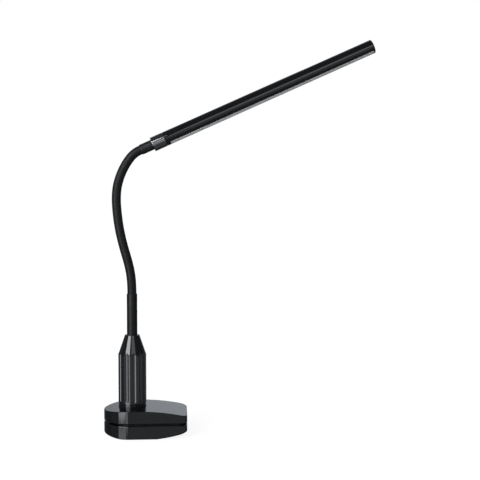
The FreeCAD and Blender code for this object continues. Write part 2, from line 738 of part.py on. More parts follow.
def head_wires():
    x = BOARD_TOP - WIRE_R
    low = SOCKET_DEPTH + RUN
    high = BOARD_Z + WIRE_AT
    return Part.makeCompound([rod(WIRE_R, low, high, x, side * (WIRE_R + FIT)) for side in (-1, 1)])


PLACES = neck_places()
NECK_END_X, NECK_END_Z, HEAD_LEAN = PLACES[-1]
HEAD_PLACE = (NECK_END_X + SLEEVE_LEN * math.sin(math.radians(HEAD_LEAN)),
              NECK_END_Z + SLEEVE_LEN * math.cos(math.radians(HEAD_LEAN)), HEAD_LEAN)

PIECES = {
    "lower_jaw": lower_jaw(),
    "lower_jaw_pad": lower_jaw_pad(),
    "bottom_cover": bottom_cover(),
    "bottom_cover_screws": bottom_cover_screws(),
    "stem_tube": stem_tube(),
    "stem_washer": stem_washer(),
    "stem_nut": stem_nut(),
    "stem_key": stem_key(),
    "cable_bush": cable_bush(),
    "stem_cable": stem_cable(),
    "upper_jaw": upper_jaw(),
    "upper_jaw_pad": upper_jaw_pad(),
    "guide_plate": guide_plate(),
    "guide_plate_screws": guide_plate_screws(),
    "thrust_ring": thrust_ring(),
    "grip_sleeve": grip_sleeve(),
    "thread_insert": thread_insert(),
    "retaining_clip": retaining_clip(),
    "grip_cone": grip_cone(),
    "neck_root": placed(neck_root(), PLACES[0]),
    "neck_tip": placed(neck_tip(), PLACES[-1]),
    "neck_top_sleeve": placed(neck_top_sleeve(), PLACES[-1]),
}
for number in range(1, len(LINK_TURNS)):
    PIECES["neck_link_%02d" % number] = placed(neck_link(number), PLACES[number])

HEAD_PIECES = {
    "touch_ring": touch_ring(),
    "head_collar": head_collar(),
    "neck_socket": neck_socket(),
    "neck_grub_screw": neck_grub_screw(),
    "head_tube": head_tube(),
    "diffuser": diffuser(),
    "end_cap": end_cap(),
    "led_board": led_board(),
    "led_chips": led_chips(),
    "touch_board": touch_board(),
    "touch_board_parts": touch_board_parts(),
    "touch_contact": touch_contact(),
    "head_wires": head_wires(),
}
for name, piece in HEAD_PIECES.items():
    PIECES[name] = placed(piece, HEAD_PLACE)

os.makedirs("parts", exist_ok=True)
for name, piece in PIECES.items():
    piece.exportStep("parts/" + name + ".step")
    print("%-20s solids %2d valid %s volume %.1f" % (name, len(piece.Solids), piece.isValid(), piece.Volume))
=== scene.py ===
import json
import math

import bpy
import numpy as np
from mathutils import Matrix, Vector


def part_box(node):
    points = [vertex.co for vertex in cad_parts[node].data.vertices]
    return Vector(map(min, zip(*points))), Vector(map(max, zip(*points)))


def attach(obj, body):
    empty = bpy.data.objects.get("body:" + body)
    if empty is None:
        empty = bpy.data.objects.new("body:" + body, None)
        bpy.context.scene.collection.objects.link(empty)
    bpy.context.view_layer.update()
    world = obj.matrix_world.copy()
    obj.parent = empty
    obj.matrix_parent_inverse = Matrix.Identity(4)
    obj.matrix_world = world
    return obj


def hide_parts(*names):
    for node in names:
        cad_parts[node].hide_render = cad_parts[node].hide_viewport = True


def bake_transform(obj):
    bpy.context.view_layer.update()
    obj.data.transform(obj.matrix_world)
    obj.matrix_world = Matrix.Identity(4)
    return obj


# Piano lamp: glossy clamp jaws, fluted grip, steel stem, black gooseneck and a slim light tube.
# Everything is in metres in the lamp's own frame: origin on the column axis at the foot, +X
# towards the head, +Z up.

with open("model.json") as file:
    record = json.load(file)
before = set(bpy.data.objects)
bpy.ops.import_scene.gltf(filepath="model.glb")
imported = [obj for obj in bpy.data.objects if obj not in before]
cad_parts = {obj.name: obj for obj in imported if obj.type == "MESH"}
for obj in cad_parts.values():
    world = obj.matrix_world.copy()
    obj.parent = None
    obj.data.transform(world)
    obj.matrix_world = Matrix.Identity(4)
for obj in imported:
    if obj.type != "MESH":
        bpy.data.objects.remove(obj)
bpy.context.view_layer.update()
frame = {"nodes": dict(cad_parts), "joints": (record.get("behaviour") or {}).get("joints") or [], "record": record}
MM = 0.001

# Places read from the frame
JOINTS = {joint["name"]: joint for joint in frame["joints"]}
LOWER_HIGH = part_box("lower_jaw")[1]
UPPER_LOW, UPPER_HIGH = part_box("upper_jaw")
STEM_LOW, STEM_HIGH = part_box("stem_tube")
PAD_LOW, PAD_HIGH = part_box("lower_jaw_pad")
UPPER_PAD_LOW, UPPER_PAD_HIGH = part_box("upper_jaw_pad")
COVER_LOW, COVER_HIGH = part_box("bottom_cover")
RING_LOW, RING_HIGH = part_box("thrust_ring")
SLEEVE_LOW, SLEEVE_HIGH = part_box("grip_sleeve")
CONE_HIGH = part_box("grip_cone")[1]
PLATE_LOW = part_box("guide_plate")[0]

# Loops at this distance beside a rounded edge keep the face next to it flat
SUPPORT = 0.2 * MM

# Jaw forms
JAW_AROUND = 288
JAW_HALF = LOWER_HIGH.y
JAW_FRONT = LOWER_HIGH.x
JAW_CORNER = 11 * MM
JAW_RIM = 0.9 * MM
RIM_STEPS = 6
FACE_STEPS = 14
LOWER_CROWN_X = 9 * MM
LOWER_CROWN = 220 * MM
FOOT_HALF = 24 * MM
UPPER_CROWN_X = 6 * MM
UPPER_CROWN = 300 * MM
RING_SEAT_GAP = 0.3 * MM
STEM_HOLE_GAP = 0.1 * MM
PAD_CORNER_FRONT = 7 * MM
PAD_BORE_R = 8.1 * MM
PAD_EDGE = 0.35 * MM
PAD_GROOVES = 4
PAD_GROOVE_PITCH = 3.2 * MM
PAD_GROOVE_DEPTH = 0.3 * MM
PAD_GROOVE_MOUTH = 0.65 * MM
PAD_GROOVE_BED = 0.35 * MM
COVER_CORNER = 6 * MM
COVER_SCREW_HALF = 16.5 * MM
PLATE_SCREW_RING = 16.5 * MM
PLATE_SCREW_TURNS = (30, 150, 270)
SCREW_LEN = 8 * MM
SCREW_HEAD_R = 2.6 * MM
SCREW_HEAD_T = 1.4 * MM
SCREW_R = 1.25 * MM
SCREW_SINK = 0.3 * MM
SEAM = 0.1 * MM

# Column forms
STEM_R = STEM_HIGH.x
RING_R = RING_HIGH.x
RING_BORE_R = 10.3 * MM
RING_EDGE = 0.6 * MM
GRIP_R = SLEEVE_HIGH.x
GRIP_GAP = 0.3 * MM
GRIP_GROOVE = 1.3 * MM
GRIP_RIM_Z = RING_HIGH.z + GRIP_GROOVE
CONE_TALL = 25.3 * MM
GRIP_TOP = CONE_HIGH.z - CONE_TALL
GRIP_NECK_R = 17.5 * MM
GRIP_RIM = 0.4 * MM
GRIP_HOLE_R = 7 * MM
GRIP_SPIGOT_R = 10 * MM
GRIP_BORE_R = 15 * MM
GRIP_BORE_DEPTH = 40 * MM
JOINT_LINE = 0.05 * MM
FLUTES = 12
FLUTE_PHASE = math.radians(-111)
FLUTE_W = 5.6 * MM
FLUTE_DEPTH = 1.25 * MM
FLUTE_LOW = 2.2 * MM
FLUTE_SOFT = 0.22 * MM
CONE_BASE_R = 18.3 * MM
CONE_TOP_R = 9.9 * MM
CONE_LIP = 0.7 * MM
CONE_RIM = 0.25 * MM
CONE_BORE_R = 13 * MM
CONE_SPIGOT_R = 14.9 * MM
CONE_SPIGOT_LEN = 6 * MM
SCALLOP_TALL = 3.6 * MM
STEM_BORE_R = 3 * MM
STEM_FOOT_R = 5 * MM
STEM_SHOULDER = 14.5 * MM
STEM_BEVEL = 0.7 * MM
ROOT_DEPTH = 16 * MM
THREAD_START = 0.8 * MM
THREAD_TOP = 92 * MM
THREAD_PITCH = 2 * MM
THREAD_DEPTH = 0.55 * MM

# Neck and head forms
HOSE_R = 6.1 * MM
HOSE_BORE_R = 4.2 * MM
HOSE_GAP = 0.05 * MM
HOSE_INTO_STEM = 6 * MM
HOSE_INTO_HEAD = 8 * MM
SLEEVE_R = 6.9 * MM
SLEEVE_LEN = 18.3 * MM
HEAD_LEN = 324.3 * MM
HEAD_R = 9.6 * MM
HEAD_WALL = 1.1 * MM
TOUCH_R = 9.7 * MM
TOUCH_WALL = 1.1 * MM
TOUCH_LEN = 17.5 * MM
TOUCH_GAP = 0.3 * MM
COLLAR_LEN = 5.4 * MM
SLOT_HALF_DEG = 47.5
DIFFUSER_GAP_DEG = 0.9
DIFFUSER_T = 1.15 * MM
DIFFUSER_SINK = 0.05 * MM
DIFFUSER_END_GAP = 0.15 * MM
CAP_T = 2.7 * MM
CAP_EDGE = 1.2 * MM
AXIS_R = 0.02 * MM


def smooth_all(obj, sharp_above=35.0):
    obj.data.shade_smooth()
    obj.data.set_sharp_from_angle(angle=math.radians(sharp_above))


def new_piece(name, points, faces, material, body, slot=None, replaced=()):
    mesh = bpy.data.meshes.new(name)
    mesh.from_pydata([tuple(point) for point in points], [], faces)
    mesh.validate()
    obj = bpy.data.objects.new(name, mesh)
    bpy.context.scene.collection.objects.link(obj)
    mesh.materials.append(material)
    smooth_all(obj)
    if body:
        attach(obj, body)
    if replaced:
        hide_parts(*replaced)
    return obj


def skin_faces(count, around, closed):
    """Quads between loops of points; closed joins the last loop to the first, else the ends are filled."""
    faces = []
    for ring in range(count if closed else count - 1):
        first = ring * around
        second = ((ring + 1) % count) * around
        for step in range(around):
            after = (step + 1) % around
            faces.append((first + step, first + after, second + after, second + step))
    if not closed:
        faces.append(tuple(reversed(range(around))))
        last = (count - 1) * around
        faces.append(tuple(range(last, last + around)))
    return faces


def skinned(name, loops, material, body, closed=True, **options):
    around = len(loops[0])
    points = [point for loop in loops for point in loop]
    return new_piece(name, points, skin_faces(len(loops), around, closed), material, body, **options)


def level_loop(angles, radius, z, x=0.0, y=0.0):
    """A loop at height z round (x, y); radius is one number or one for each angle."""
    radii = np.broadcast_to(radius, angles.shape)
    return np.stack([x + radii * np.cos(angles), y + radii * np.sin(angles), np.full(len(angles), z)], 1)


def even_turn(around):
    return np.arange(around) * 2 * math.pi / around


def circle(radius, z, around):
    return level_loop(even_turn(around), radius, z)


def quarter_turn(steps):
    return [math.pi / 2 * step / steps for step in range(steps + 1)]


def lathe(name, profile, material, body, around, matrix=None, **options):
    """A solid of revolution from a closed profile of (radius, height) points."""
    loops = [circle(radius, z, around) for radius, z in profile]
    if matrix is not None:
        loops = [[matrix @ Vector(point) for point in loop] for loop in loops]
    return skinned(name, loops, material, body, **options)


def eased(profile, radius):
    """A closed profile with its corners rounded, and points beside them that keep its sides flat."""
    most_of_side = 0.4
    least_beside = 0.05
    steps = 3
    out = []
    for index, corner in enumerate(profile):
        here = np.array(corner)
        back = np.array(profile[index - 1]) - here
        onward = np.array(profile[(index + 1) % len(profile)]) - here
        back_len = np.linalg.norm(back)
        onward_len = np.linalg.norm(onward)
        back = back / back_len
        onward = onward / onward_len
        reach = min(radius, most_of_side * back_len, most_of_side * onward_len)
        start = here + back * reach
        end = here + onward * reach
        out.append(tuple(start + back * min(SUPPORT, least_beside * back_len)))
        for step in range(steps + 1):
            t = step / steps
            out.append(tuple((1 - t) ** 2 * start + 2 * t * (1 - t) * here + t ** 2 * end))
        out.append(tuple(end + onward * min(SUPPORT, least_beside * onward_len)))
    return out


def shader(name, **sockets):
    """A material with a Principled shader; a socket's name has _ for its spaces."""
    material = bpy.data.materials.new(name)
    material.use_nodes = True
    principled = material.node_tree.nodes["Principled BSDF"]
    for key, value in sockets.items():
        principled.inputs[key.replace("_", " ")].default_value = value
    return material, material.node_tree.nodes, material.node_tree.links, principled


def noise(nodes, links, scale, detail=3.0):
    place = nodes.new("ShaderNodeTexCoord")
    texture = nodes.new("ShaderNodeTexNoise")
    texture.inputs["Scale"].default_value = scale
    texture.inputs["Detail"].default_value = detail
    links.new(place.outputs["Object"], texture.inputs["Vector"])
    return texture


def vary(nodes, links, source, target, low, high):
    """Feeds a socket with a value from low to high, driven by a texture."""
    span = nodes.new("ShaderNodeMapRange")
    span.inputs["From Min"].default_value = 0.3
    span.inputs["From Max"].default_value = 0.7
    span.inputs["To Min"].default_value = low
    span.inputs["To Max"].default_value = high
    links.new(source.outputs["Fac"], span.inputs["Value"])
    links.new(span.outputs["Result"], target)


def tint(nodes, links, source, target, dark, light):
    """Feeds a colour socket with a mix of two colours, driven by a texture."""
    mix = nodes.new("ShaderNodeMix")
    mix.data_type = "RGBA"
    mix.inputs["A"].default_value = (*dark, 1)
    mix.inputs["B"].default_value = (*light, 1)
    links.new(source.outputs["Fac"], mix.inputs["Factor"])
    links.new(mix.outputs["Result"], target)


def relief(nodes, links, source, principled, strength, distance):
    bump = nodes.new("ShaderNodeBump")
    bump.inputs["Strength"].default_value = strength
    bump.inputs["Distance"].default_value = distance
    links.new(source.outputs["Fac"], bump.inputs["Height"])
    links.new(bump.outputs["Normal"], principled.inputs["Normal"])


def surface(name, dark, light, rough, grain, bump, **sockets):
    """A finish with fine variation: colour from dark to light, a range of roughness, and a relief
    whose texture has the scale grain, with bump's strength and height in metres."""
    material, nodes, links, principled = shader(name, **sockets)
    broad = noise(nodes, links, 60, detail=4.0)
    fine = noise(nodes, links, grain)
    tint(nodes, links, broad, principled.inputs["Base Color"], dark, light)
    vary(nodes, links, broad, principled.inputs["Roughness"], *rough)
    relief(nodes, links, fine, principled, *bump)
    return material


JAW_LACQUER = surface("jaw_lacquer", (0.003, 0.0034, 0.0036), (0.0042, 0.0047, 0.005), (0.06, 0.09), 900,
                      (0.02, 0.00005), IOR=1.5)
GRIP_LACQUER = surface("grip_lacquer", (0.004, 0.0044, 0.005), (0.006, 0.0065, 0.0072), (0.07, 0.11), 1400,
                       (0.03, 0.00005), IOR=1.6)
STEM_PAINT = surface("stem_paint", (0.0055, 0.0058, 0.0062), (0.0075, 0.0079, 0.0084), (0.36, 0.44), 2600,
                     (0.1, 0.00005), IOR=1.45, Specular_IOR_Level=0.2)
HOSE_SKIN = surface("hose_skin", (0.006, 0.0062, 0.0068), (0.008, 0.0083, 0.009), (0.42, 0.52), 3200,
                    (0.15, 0.00006), IOR=1.45, Specular_IOR_Level=0.2)
SLEEVE_RUBBER = surface("sleeve_rubber", (0.008, 0.008, 0.009), (0.011, 0.011, 0.012), (0.42, 0.5), 2800,
                        (0.12, 0.00006), IOR=1.36)
HEAD_PAINT = surface("head_paint", (0.0035, 0.004, 0.0045), (0.005, 0.0055, 0.006), (0.03, 0.05), 1600,
                     (0.03, 0.00004), IOR=1.62)
HEAD_PLASTIC = surface("head_plastic", (0.004, 0.004, 0.0045), (0.006, 0.006, 0.007), (0.16, 0.22), 2000,
                       (0.05, 0.00004), IOR=1.48)
PAD_RUBBER = surface("pad_rubber", (0.008, 0.008, 0.008), (0.013, 0.013, 0.013), (0.7, 0.85), 2400,
                     (0.3, 0.0001), IOR=1.45)
COVER_PLASTIC = surface("cover_plastic", (0.010, 0.010, 0.011), (0.015, 0.015, 0.016), (0.5, 0.62), 3000,
                        (0.25, 0.00008), IOR=1.46)
STEEL = surface("zinc_steel", (0.42, 0.43, 0.44), (0.55, 0.56, 0.57), (0.28, 0.4), 1500, (0.08, 0.00005),
                Metallic=1.0)
BRASS = surface("insert_brass", (0.6, 0.42, 0.18), (0.75, 0.55, 0.26), (0.25, 0.35), 1500, (0.08, 0.00005),
                Metallic=1.0)
TOUCH_METAL = surface("touch_metal", (0.34, 0.34, 0.349), (0.38, 0.38, 0.389), (0.09, 0.12), 2500,
                      (0.05, 0.00004), Metallic=1.0)
OPAL = surface("diffuser_opal", (0.33, 0.335, 0.34), (0.36, 0.365, 0.37), (0.38, 0.46), 1800, (0.04, 0.00004),
               IOR=1.49)
BOARD = surface("board_laminate", (0.68, 0.69, 0.67), (0.76, 0.77, 0.75), (0.4, 0.5), 1500, (0.1, 0.00005))
BOARD_GREEN = surface("board_green", (0.015, 0.1, 0.045), (0.025, 0.14, 0.06), (0.35, 0.45), 1500,
                      (0.1, 0.00005))
CHIP_BLACK = surface("chip_black", (0.012, 0.012, 0.013), (0.02, 0.02, 0.021), (0.4, 0.5), 2500,
                     (0.1, 0.00005))
PHOSPHOR = surface("led_phosphor", (0.7, 0.58, 0.12), (0.82, 0.7, 0.2), (0.35, 0.45), 1500, (0.1, 0.00005))
WIRE_RED = surface("wire_red", (0.25, 0.015, 0.012), (0.32, 0.02, 0.018), (0.4, 0.5), 1500, (0.1, 0.00005))

FINISHES = {
    "pad_rubber": PAD_RUBBER, "cover_plastic": COVER_PLASTIC, "black_rubber": SLEEVE_RUBBER,
    "zinc_steel": STEEL, "insert_brass": BRASS, "board_laminate": BOARD, "board_green": BOARD_GREEN,
    "chip_black": CHIP_BLACK, "led_phosphor": PHOSPHOR, "wire_red": WIRE_RED, "spring_bronze": BRASS,
    "core_plastic": CHIP_BLACK, "jaw_lacquer": JAW_LACQUER, "grip_lacquer": GRIP_LACQUER,
    "stem_paint": STEM_PAINT, "neck_skin": HOSE_SKIN, "touch_metal": TOUCH_METAL,
    "head_paint": HEAD_PAINT, "head_plastic": HEAD_PLASTIC, "diffuser_opal": OPAL,
}


def dress_frame():
    """Gives every carried-over CAD node the finish of its slot and smooth shading."""
    for part in frame["record"]["subparts"]:
        node = frame["nodes"][part["node"]]
        node.data.materials.clear()
        node.data.materials.append(FINISHES[part["material_slot"]])
        smooth_all(node, 30.0)


def rounded_gap(x, y, low_x, high_x, half_y, low_r, high_r):
    """Signed distance to a flat shape with one corner radius at its rear and one at its front."""
    middle = (low_x + high_x) / 2
    half_x = (high_x - low_x) / 2
    radius = np.where(x < middle, low_r, high_r)
    over_x = np.abs(x - middle) - half_x + radius
    over_y = np.abs(y) - half_y + radius
    outside = np.hypot(np.maximum(over_x, 0), np.maximum(over_y, 0))
    return outside + np.minimum(np.maximum(over_x, over_y), 0) - radius


class Outline:
    """Loops round a flat shape, all cut by the same rays from one centre."""

    centre_x = 10 * MM
    farthest = 200 * MM
    halvings = 48
    samples = 6001

    def __init__(self, shape):
        self.shape = shape

    def reach(self, angles, offset):
        low = np.zeros(len(angles))
        high = np.full(len(angles), self.farthest)
        for _ in range(self.halvings):
            middle = (low + high) / 2
            gap = rounded_gap(self.centre_x + middle * np.cos(angles), middle * np.sin(angles), *self.shape)
            inside = gap < -offset
            low = np.where(inside, middle, low)
            high = np.where(inside, high, middle)
        return low

    def even_angles(self, around):
        dense = np.linspace(0, 2 * math.pi, self.samples)
        reach = self.reach(dense, 0.0)
        x = reach * np.cos(dense)
        y = reach * np.sin(dense)
        travelled = np.concatenate([[0], np.cumsum(np.hypot(np.diff(x), np.diff(y)))])
        return np.interp(np.arange(around) / around * travelled[-1], travelled, dense)

    def loop(self, angles, offset=0.0):
        reach = self.reach(angles, offset)
        return self.centre_x + reach * np.cos(angles), reach * np.sin(angles)


JAW_OUTLINE = Outline((-JAW_HALF, JAW_FRONT, JAW_HALF, JAW_HALF, JAW_CORNER))
PAD_OUTLINE = Outline((PAD_LOW.x, PAD_HIGH.x, PAD_HIGH.y, -PAD_LOW.x, PAD_CORNER_FRONT))
COVER_OUTLINE = Outline((COVER_LOW.x, COVER_HIGH.x, COVER_HIGH.y, COVER_CORNER, COVER_CORNER))
JAW_ANGLES = JAW_OUTLINE.even_angles(JAW_AROUND)


def flat_loop(pair, z):
    x, y = pair
    return np.stack([x, y, np.broadcast_to(z, x.shape)], 1)


def bore_loop(radius, z):
    return level_loop(JAW_ANGLES, radius, z)


def upper_crown(x):
    return UPPER_HIGH.z - UPPER_CROWN + np.sqrt(UPPER_CROWN ** 2 - (x - UPPER_CROWN_X) ** 2)


def lower_crown(x):
    centre = math.sqrt(LOWER_CROWN ** 2 - FOOT_HALF ** 2)
    return np.maximum(centre - np.sqrt(LOWER_CROWN ** 2 - (x - LOWER_CROWN_X) ** 2), 0.0)


def rim_loops(face_z, sign):
    """The rounded rim between a jaw's face, whose height is face_z(x), and its upright wall."""
    x, y = JAW_OUTLINE.loop(JAW_ANGLES, JAW_RIM + SUPPORT)
    loops = [flat_loop((x, y), face_z(x))]
    for angle in quarter_turn(RIM_STEPS):
        x, y = JAW_OUTLINE.loop(JAW_ANGLES, JAW_RIM * (1 - math.sin(angle)))
        drop = JAW_RIM * (1 - math.cos(angle))
        loops.append(flat_loop((x, y), face_z(x) - sign * drop))
    loops.append(flat_loop((x, y), face_z(x) - sign * (JAW_RIM + SUPPORT)))
    return loops


def crowned_face(inner, face_z):
    """Loops from an inner loop out to the start of the rim, all on the crowned face."""
    outer_x, outer_y = JAW_OUTLINE.loop(JAW_ANGLES, JAW_RIM + SUPPORT)
    loops = []
    for step in range(FACE_STEPS):
        t = step / FACE_STEPS
        x = inner[0] * (1 - t) + outer_x * t
        y = inner[1] * (1 - t) + outer_y * t
        loops.append(flat_loop((x, y), face_z(x)))
    return loops


def flat_face_z(level):
    return lambda x: np.full_like(x, level)


def upper_jaw():
    seat_r = RING_R + RING_SEAT_GAP
    seat = (seat_r * np.cos(JAW_ANGLES), seat_r * np.sin(JAW_ANGLES))
    loops = [bore_loop(RING_BORE_R, PLATE_LOW.z), bore_loop(RING_BORE_R, RING_LOW.z),
             bore_loop(seat_r, RING_LOW.z)]
    loops += crowned_face(seat, upper_crown)
    loops += rim_loops(upper_crown, 1)
    loops += list(reversed(rim_loops(flat_face_z(UPPER_LOW.z), -1)))
    pad = PAD_OUTLINE.loop(JAW_ANGLES, -SEAM)
    loops += [flat_loop(pad, UPPER_LOW.z), flat_loop(pad, PLATE_LOW.z)]
    skinned("upper_jaw_shell", loops, JAW_LACQUER, "upper_clamp", slot="jaw_lacquer",
            replaced=("upper_jaw",))


def lower_jaw():
    hole_r = STEM_R + STEM_HOLE_GAP
    cover = COVER_OUTLINE.loop(JAW_ANGLES, -SEAM)
    pad = PAD_OUTLINE.loop(JAW_ANGLES, -SEAM)
    loops = [bore_loop(hole_r, COVER_HIGH.z), flat_loop(cover, COVER_HIGH.z)]
    loops += crowned_face(cover, lower_crown)
    loops += rim_loops(lower_crown, -1)
    loops += list(reversed(rim_loops(flat_face_z(LOWER_HIGH.z), 1)))
    loops += [flat_loop(pad, LOWER_HIGH.z), flat_loop(pad, PAD_LOW.z), bore_loop(hole_r, PAD_LOW.z)]
    skinned("lower_jaw_shell", loops, JAW_LACQUER, "base", slot="jaw_lacquer", replaced=("lower_jaw",))


def grooved_pad(back_z, face_z):
    """Loops over a pad from the edge of its back to its bore, with grooves along its gripping face."""
    inward = math.copysign(1, back_z - face_z)
    loops = [flat_loop(PAD_OUTLINE.loop(JAW_ANGLES), back_z)]
    for angle in quarter_turn(3):
        pair = PAD_OUTLINE.loop(JAW_ANGLES, PAD_EDGE * (1 - math.cos(angle)))
        loops.append(flat_loop(pair, face_z + inward * PAD_EDGE * (1 - math.sin(angle))))
    section = ((-PAD_GROOVE_MOUTH, 0), (-PAD_GROOVE_BED, PAD_GROOVE_DEPTH),
               (PAD_GROOVE_BED, PAD_GROOVE_DEPTH), (PAD_GROOVE_MOUTH, 0))
    for groove in range(PAD_GROOVES):
        middle = PAD_GROOVE_PITCH * (groove + 1)
        for offset, down in section:
            loops.append(flat_loop(PAD_OUTLINE.loop(JAW_ANGLES, middle + offset), face_z + inward * down))
    return loops + [bore_loop(PAD_BORE_R, face_z), bore_loop(PAD_BORE_R, back_z)]


def jaw_pads():
    """The rubber pads in the slit between the jaws."""
    skinned("lower_jaw_pad_grooved", grooved_pad(PAD_LOW.z, PAD_HIGH.z), PAD_RUBBER, "base",
            slot="pad_rubber", replaced=("lower_jaw_pad",))
    upper = list(reversed(grooved_pad(UPPER_PAD_HIGH.z, UPPER_PAD_LOW.z)))
    skinned("upper_jaw_pad_grooved", upper, PAD_RUBBER, "upper_clamp", slot="pad_rubber",
            replaced=("upper_jaw_pad",))


def socket_screw(x, y, face_z):
    """Loops of a countersunk screw that points up, from its hexagon socket to its tip."""
    angles = even_turn(48)
    half_side = math.pi / 6
    socket_half = 1.0 * MM
    socket_depth = 0.9 * MM
    chamfer = 0.1 * MM
    head_edge = 0.15 * MM
    tip_len = 0.4 * MM
    tip_in = 0.3 * MM
    hexagon = socket_half / np.cos((angles + half_side) % (2 * half_side) - half_side)
    low = face_z + SCREW_SINK
    high = face_z + SCREW_LEN
    stations = [(hexagon, low + socket_depth), (hexagon, low + chamfer), (hexagon + chamfer, low),
                (SCREW_HEAD_R - head_edge, low), (SCREW_HEAD_R, low + chamfer),
                (SCREW_R, low + SCREW_HEAD_T), (SCREW_R, high - tip_len), (SCREW_R - tip_in, high)]
    return [level_loop(angles, radius, z, x, y) for radius, z in stations]


def screw_set(name, body, replaced, places, face_z):
    points = []
    faces = []
    for x, y in places:
        loops = socket_screw(x, y, face_z)
        first = len(points)
        points += [point for loop in loops for point in loop]
        faces += [tuple(first + at for at in face) for face in skin_faces(len(loops), len(loops[0]), False)]
    new_piece(name, points, faces, STEEL, body, slot="zinc_steel", replaced=replaced)


def jaw_screws():
    middle_x = (COVER_LOW.x + COVER_HIGH.x) / 2
    cover = [(middle_x + sx * COVER_SCREW_HALF, sy * COVER_SCREW_HALF) for sx in (-1, 1) for sy in (-1, 1)]
    screw_set("cover_screws_socketed", "base", ("bottom_cover_screws",), cover, COVER_LOW.z)
    turns = [math.radians(turn) for turn in PLATE_SCREW_TURNS]
    plate = [(PLATE_SCREW_RING * math.cos(turn), PLATE_SCREW_RING * math.sin(turn)) for turn in turns]
    screw_set("plate_screws_socketed", "upper_clamp", ("guide_plate_screws",), plate, PLATE_LOW.z)


def thrust_ring():
    profile = [(RING_BORE_R, RING_LOW.z), (RING_R, RING_LOW.z), (RING_R, RING_HIGH.z),
               (RING_BORE_R, RING_HIGH.z)]
    lathe("thrust_ring_turned", eased(profile, RING_EDGE), GRIP_LACQUER, "upper_clamp", around=160,
          slot="grip_lacquer", replaced=("thrust_ring",))


FLUTE_CUTTER = (FLUTE_W ** 2 / 4 + FLUTE_DEPTH ** 2) / (2 * FLUTE_DEPTH)
FLUTE_CENTRE = GRIP_R + FLUTE_CUTTER - FLUTE_DEPTH
FLUTE_PITCH = 2 * math.pi / FLUTES


def flute_angles():
    """Angles round the grip, close together at both edges of every flute."""
    bed_steps = 7
    edge_steps = 8
    land_steps = 4
    edge_cos = (GRIP_R ** 2 + FLUTE_CENTRE ** 2 - FLUTE_CUTTER ** 2) / (2 * GRIP_R * FLUTE_CENTRE)
    edge = math.acos(edge_cos)
    soft = 2 * FLUTE_SOFT / GRIP_R
    half = np.concatenate([np.linspace(0, edge - soft, bed_steps),
                           np.linspace(edge - soft, edge + soft, edge_steps)[1:-1],
                           np.linspace(edge + soft, FLUTE_PITCH / 2, land_steps)])
    one = np.concatenate([-half[:0:-1], half[:-1]])
    return np.concatenate([FLUTE_PHASE + FLUTE_PITCH * index + one for index in range(FLUTES)])


def flute_radius(angles, z, plain):
    """Radius at each angle, at height z, of a round form of radius plain with the flutes cut in it."""
    past = max(GRIP_RIM_Z + FLUTE_LOW + FLUTE_W / 2 - z, 0.0)
    clear_of_grip = GRIP_R + FLUTE_W
    local = (angles - FLUTE_PHASE + FLUTE_PITCH / 2) % FLUTE_PITCH - FLUTE_PITCH / 2
    reach = FLUTE_CUTTER ** 2 - past ** 2 - (FLUTE_CENTRE * np.sin(local)) ** 2
    near_side = FLUTE_CENTRE * np.cos(local) - np.sqrt(np.maximum(reach, 0))
    cut = np.where(reach > 0, near_side, clear_of_grip)
    share = np.clip(0.5 + 0.5 * (cut - plain) / FLUTE_SOFT, 0, 1)
    return cut * (1 - share) + plain * share - FLUTE_SOFT * share * (1 - share)


GRIP_ANGLES = flute_angles()


def grip_loop(radius, z):
    return level_loop(GRIP_ANGLES, radius, z)


def grip_sleeve():
    neck_z = RING_HIGH.z + GRIP_GAP
    flute_low = GRIP_RIM_Z + FLUTE_LOW
    flute_lead = 0.4 * MM
    round_end = 3.6 * MM
    top = GRIP_TOP - JOINT_LINE
    heights = np.concatenate([np.linspace(flute_low - flute_lead, flute_low + round_end, 28),
                              np.linspace(flute_low + round_end, top - GRIP_RIM - SUPPORT, 9)[1:]])
    loops = [grip_loop(GRIP_HOLE_R, SLEEVE_LOW.z), grip_loop(GRIP_SPIGOT_R, SLEEVE_LOW.z),
             grip_loop(GRIP_SPIGOT_R, neck_z), grip_loop(GRIP_NECK_R, neck_z),
             grip_loop(GRIP_NECK_R, GRIP_RIM_Z)]
    for angle in quarter_turn(4):
        height = GRIP_RIM_Z + GRIP_RIM * (1 - math.cos(angle))
        loops.append(grip_loop(GRIP_R - GRIP_RIM * (1 - math.sin(angle)), height))
    loops.append(grip_loop(GRIP_R, GRIP_RIM_Z + GRIP_RIM + SUPPORT))
    loops += [grip_loop(flute_radius(GRIP_ANGLES, z, GRIP_R), z) for z in heights]
    for angle in reversed(quarter_turn(4)):
        radius = flute_radius(GRIP_ANGLES, top, GRIP_R) - GRIP_RIM * (1 - math.sin(angle))
        loops.append(grip_loop(radius, top - GRIP_RIM * (1 - math.cos(angle))))
    bore_low = GRIP_TOP - GRIP_BORE_DEPTH
    loops += [grip_loop(GRIP_BORE_R, top), grip_loop(GRIP_BORE_R, bore_low), grip_loop(GRIP_HOLE_R, bore_low)]
    skinned("grip_sleeve_fluted", loops, GRIP_LACQUER, "grip", slot="grip_lacquer",
            replaced=("grip_sleeve",))


